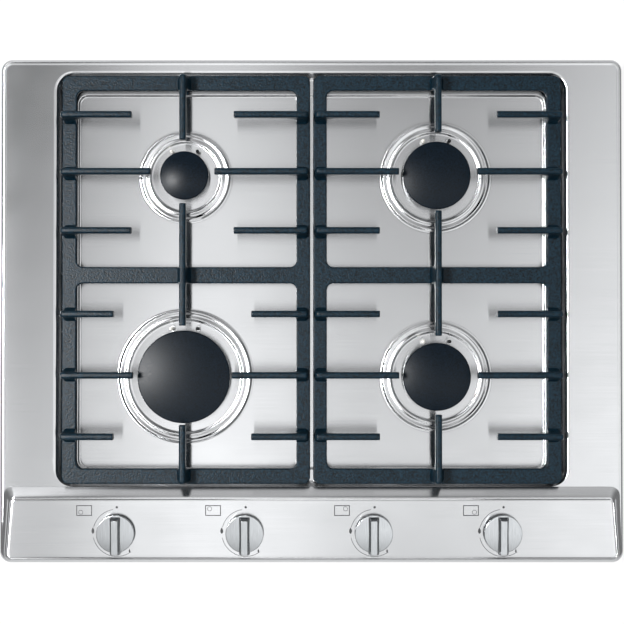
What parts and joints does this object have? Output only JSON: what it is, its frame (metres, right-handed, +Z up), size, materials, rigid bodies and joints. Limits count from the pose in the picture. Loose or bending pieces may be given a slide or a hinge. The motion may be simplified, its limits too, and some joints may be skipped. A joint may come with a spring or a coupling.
{
  "type": "gas cooktop",
  "caption": "Built-in gas cooktop: pressed stainless steel top, front knobs, round burners with enamelled caps and two lift-off cast pan supports.",
  "frame": {"origin": "middle of the cooktop in plan, level with the underside of its bottom box", "axes": "+X to the user's right, +Y to the wall behind, +Z up"},
  "size_m": [0.65, 0.525, 0.0893],
  "materials": {
    "stainless_steel": "satin, brushed from left to right",
    "knob_steel": "satin, brushed from front to rear",
    "spindle_steel": "turned, bare",
    "sensor_steel": "darkened by heat",
    "galvanised_steel": "zinc coated, dull",
    "black_enamel": "vitreous enamel, satin",
    "cast_iron": "enamelled, satin, fine grain",
    "cast_aluminium": "die cast, matt",
    "pipe_aluminium": "drawn tube",
    "brass": "machined",
    "tap_brass": "forged, dull",
    "seal_rubber": "foam rubber, matt",
    "foot_rubber": "silicone rubber, matt",
    "white_ceramic": "glazed white ceramic",
    "module_plastic": "moulded, matt"
  },
  "bodies": {
    "hob": {"hob_tray": "stainless_steel", "base_box": "galvanised_steel", "rim_seal": "seal_rubber", "gas_manifold": "galvanised_steel", "gas_inlet": "brass", "ignition_module": "module_plastic", "burner_cup_front_left": "cast_aluminium", "spark_plug_front_left": "white_ceramic", "flame_sensor_front_left": "sensor_steel", "feed_pipe_front_left": "pipe_aluminium", "gas_tap_front_left": "tap_brass", "burner_cup_rear_left": "cast_aluminium", "spark_plug_rear_left": "white_ceramic", "flame_sensor_rear_left": "sensor_steel", "feed_pipe_rear_left": "pipe_aluminium", "gas_tap_rear_left": "tap_brass", "burner_cup_rear_right": "cast_aluminium", "spark_plug_rear_right": "white_ceramic", "flame_sensor_rear_right": "sensor_steel", "feed_pipe_rear_right": "pipe_aluminium", "gas_tap_rear_right": "tap_brass", "burner_cup_front_right": "cast_aluminium", "spark_plug_front_right": "white_ceramic", "flame_sensor_front_right": "sensor_steel", "feed_pipe_front_right": "pipe_aluminium", "gas_tap_front_right": "tap_brass", "worktop_clamp_left_1": "galvanised_steel", "worktop_clamp_left_2": "galvanised_steel", "worktop_clamp_right_1": "galvanised_steel", "worktop_clamp_right_2": "galvanised_steel"},
    "pusher_front_left": {"plunger_front_left": "brass"},
    "knob_front_left": {"knob_front_left": "knob_steel", "spindle_front_left": "spindle_steel"},
    "head_front_left": {"burner_head_front_left": "cast_aluminium"},
    "cap_front_left": {"burner_cap_front_left": "black_enamel"},
    "pusher_rear_left": {"plunger_rear_left": "brass"},
    "knob_rear_left": {"knob_rear_left": "knob_steel", "spindle_rear_left": "spindle_steel"},
    "head_rear_left": {"burner_head_rear_left": "cast_aluminium"},
    "cap_rear_left": {"burner_cap_rear_left": "black_enamel"},
    "pusher_rear_right": {"plunger_rear_right": "brass"},
    "knob_rear_right": {"knob_rear_right": "knob_steel", "spindle_rear_right": "spindle_steel"},
    "head_rear_right": {"burner_head_rear_right": "cast_aluminium"},
    "cap_rear_right": {"burner_cap_rear_right": "black_enamel"},
    "pusher_front_right": {"plunger_front_right": "brass"},
    "knob_front_right": {"knob_front_right": "knob_steel", "spindle_front_right": "spindle_steel"},
    "head_front_right": {"burner_head_front_right": "cast_aluminium"},
    "cap_front_right": {"burner_cap_front_right": "black_enamel"},
    "support_left": {"pan_support_left": "cast_iron", "support_foot_left_1": "foot_rubber", "support_foot_left_2": "foot_rubber", "support_foot_left_3": "foot_rubber", "support_foot_left_4": "foot_rubber"},
    "support_right": {"pan_support_right": "cast_iron", "support_foot_right_1": "foot_rubber", "support_foot_right_2": "foot_rubber", "support_foot_right_3": "foot_rubber", "support_foot_right_4": "foot_rubber"}
  },
  "joints": [
    {"name": "knob_push_front_left", "type": "slide", "parent": "hob", "child": "pusher_front_left", "axis": [0, 0.0571, -0.9984], "range_m": [0, 0.003], "stiffness_N_per_m": 600, "springref_m": -0.006},
    {"name": "knob_turn_front_left", "type": "hinge", "parent": "pusher_front_left", "child": "knob_front_left", "pos_m": [-0.2029, -0.2309, 0.06243], "axis": [0, -0.0571, 0.9984], "range_deg": [0, 225]},
    {"name": "head_lift_front_left", "type": "slide", "parent": "hob", "child": "head_front_left", "axis": [0, 0, 1], "range_m": [0, 0.06]},
    {"name": "cap_lift_front_left", "type": "slide", "parent": "head_front_left", "child": "cap_front_left", "axis": [0, 0, 1], "range_m": [0, 0.04]},
    {"name": "knob_push_rear_left", "type": "slide", "parent": "hob", "child": "pusher_rear_left", "axis": [0, 0.0571, -0.9984], "range_m": [0, 0.003], "stiffness_N_per_m": 600, "springref_m": -0.006},
    {"name": "knob_turn_rear_left", "type": "hinge", "parent": "pusher_rear_left", "child": "knob_rear_left", "pos_m": [-0.0693, -0.2309, 0.06243], "axis": [0, -0.0571, 0.9984], "range_deg": [0, 225]},
    {"name": "head_lift_rear_left", "type": "slide", "parent": "hob", "child": "head_rear_left", "axis": [0, 0, 1], "range_m": [0, 0.06]},
    {"name": "cap_lift_rear_left", "type": "slide", "parent": "head_rear_left", "child": "cap_rear_left", "axis": [0, 0, 1], "range_m": [0, 0.04]},
    {"name": "knob_push_rear_right", "type": "slide", "parent": "hob", "child": "pusher_rear_right", "axis": [0, 0.0571, -0.9984], "range_m": [0, 0.003], "stiffness_N_per_m": 600, "springref_m": -0.006},
    {"name": "knob_turn_rear_right", "type": "hinge", "parent": "pusher_rear_right", "child": "knob_rear_right", "pos_m": [0.0643, -0.2309, 0.06243], "axis": [0, -0.0571, 0.9984], "range_deg": [0, 225]},
    {"name": "head_lift_rear_right", "type": "slide", "parent": "hob", "child": "head_rear_right", "axis": [0, 0, 1], "range_m": [0, 0.06]},
    {"name": "cap_lift_rear_right", "type": "slide", "parent": "head_rear_right", "child": "cap_rear_right", "axis": [0, 0, 1], "range_m": [0, 0.04]},
    {"name": "knob_push_front_right", "type": "slide", "parent": "hob", "child": "pusher_front_right", "axis": [0, 0.0571, -0.9984], "range_m": [0, 0.003], "stiffness_N_per_m": 600, "springref_m": -0.006},
    {"name": "knob_turn_front_right", "type": "hinge", "parent": "pusher_front_right", "child": "knob_front_right", "pos_m": [0.1979, -0.2309, 0.06243], "axis": [0, -0.0571, 0.9984], "range_deg": [0, 225]},
    {"name": "head_lift_front_right", "type": "slide", "parent": "hob", "child": "head_front_right", "axis": [0, 0, 1], "range_m": [0, 0.06]},
    {"name": "cap_lift_front_right", "type": "slide", "parent": "head_front_right", "child": "cap_front_right", "axis": [0, 0, 1], "range_m": [0, 0.04]},
    {"name": "support_lift_left", "type": "slide", "parent": "hob", "child": "support_left", "axis": [0, 0, 1], "range_m": [0, 0.12]},
    {"name": "support_lift_right", "type": "slide", "parent": "hob", "child": "support_right", "axis": [0, 0, 1], "range_m": [0, 0.12]}
  ]
}
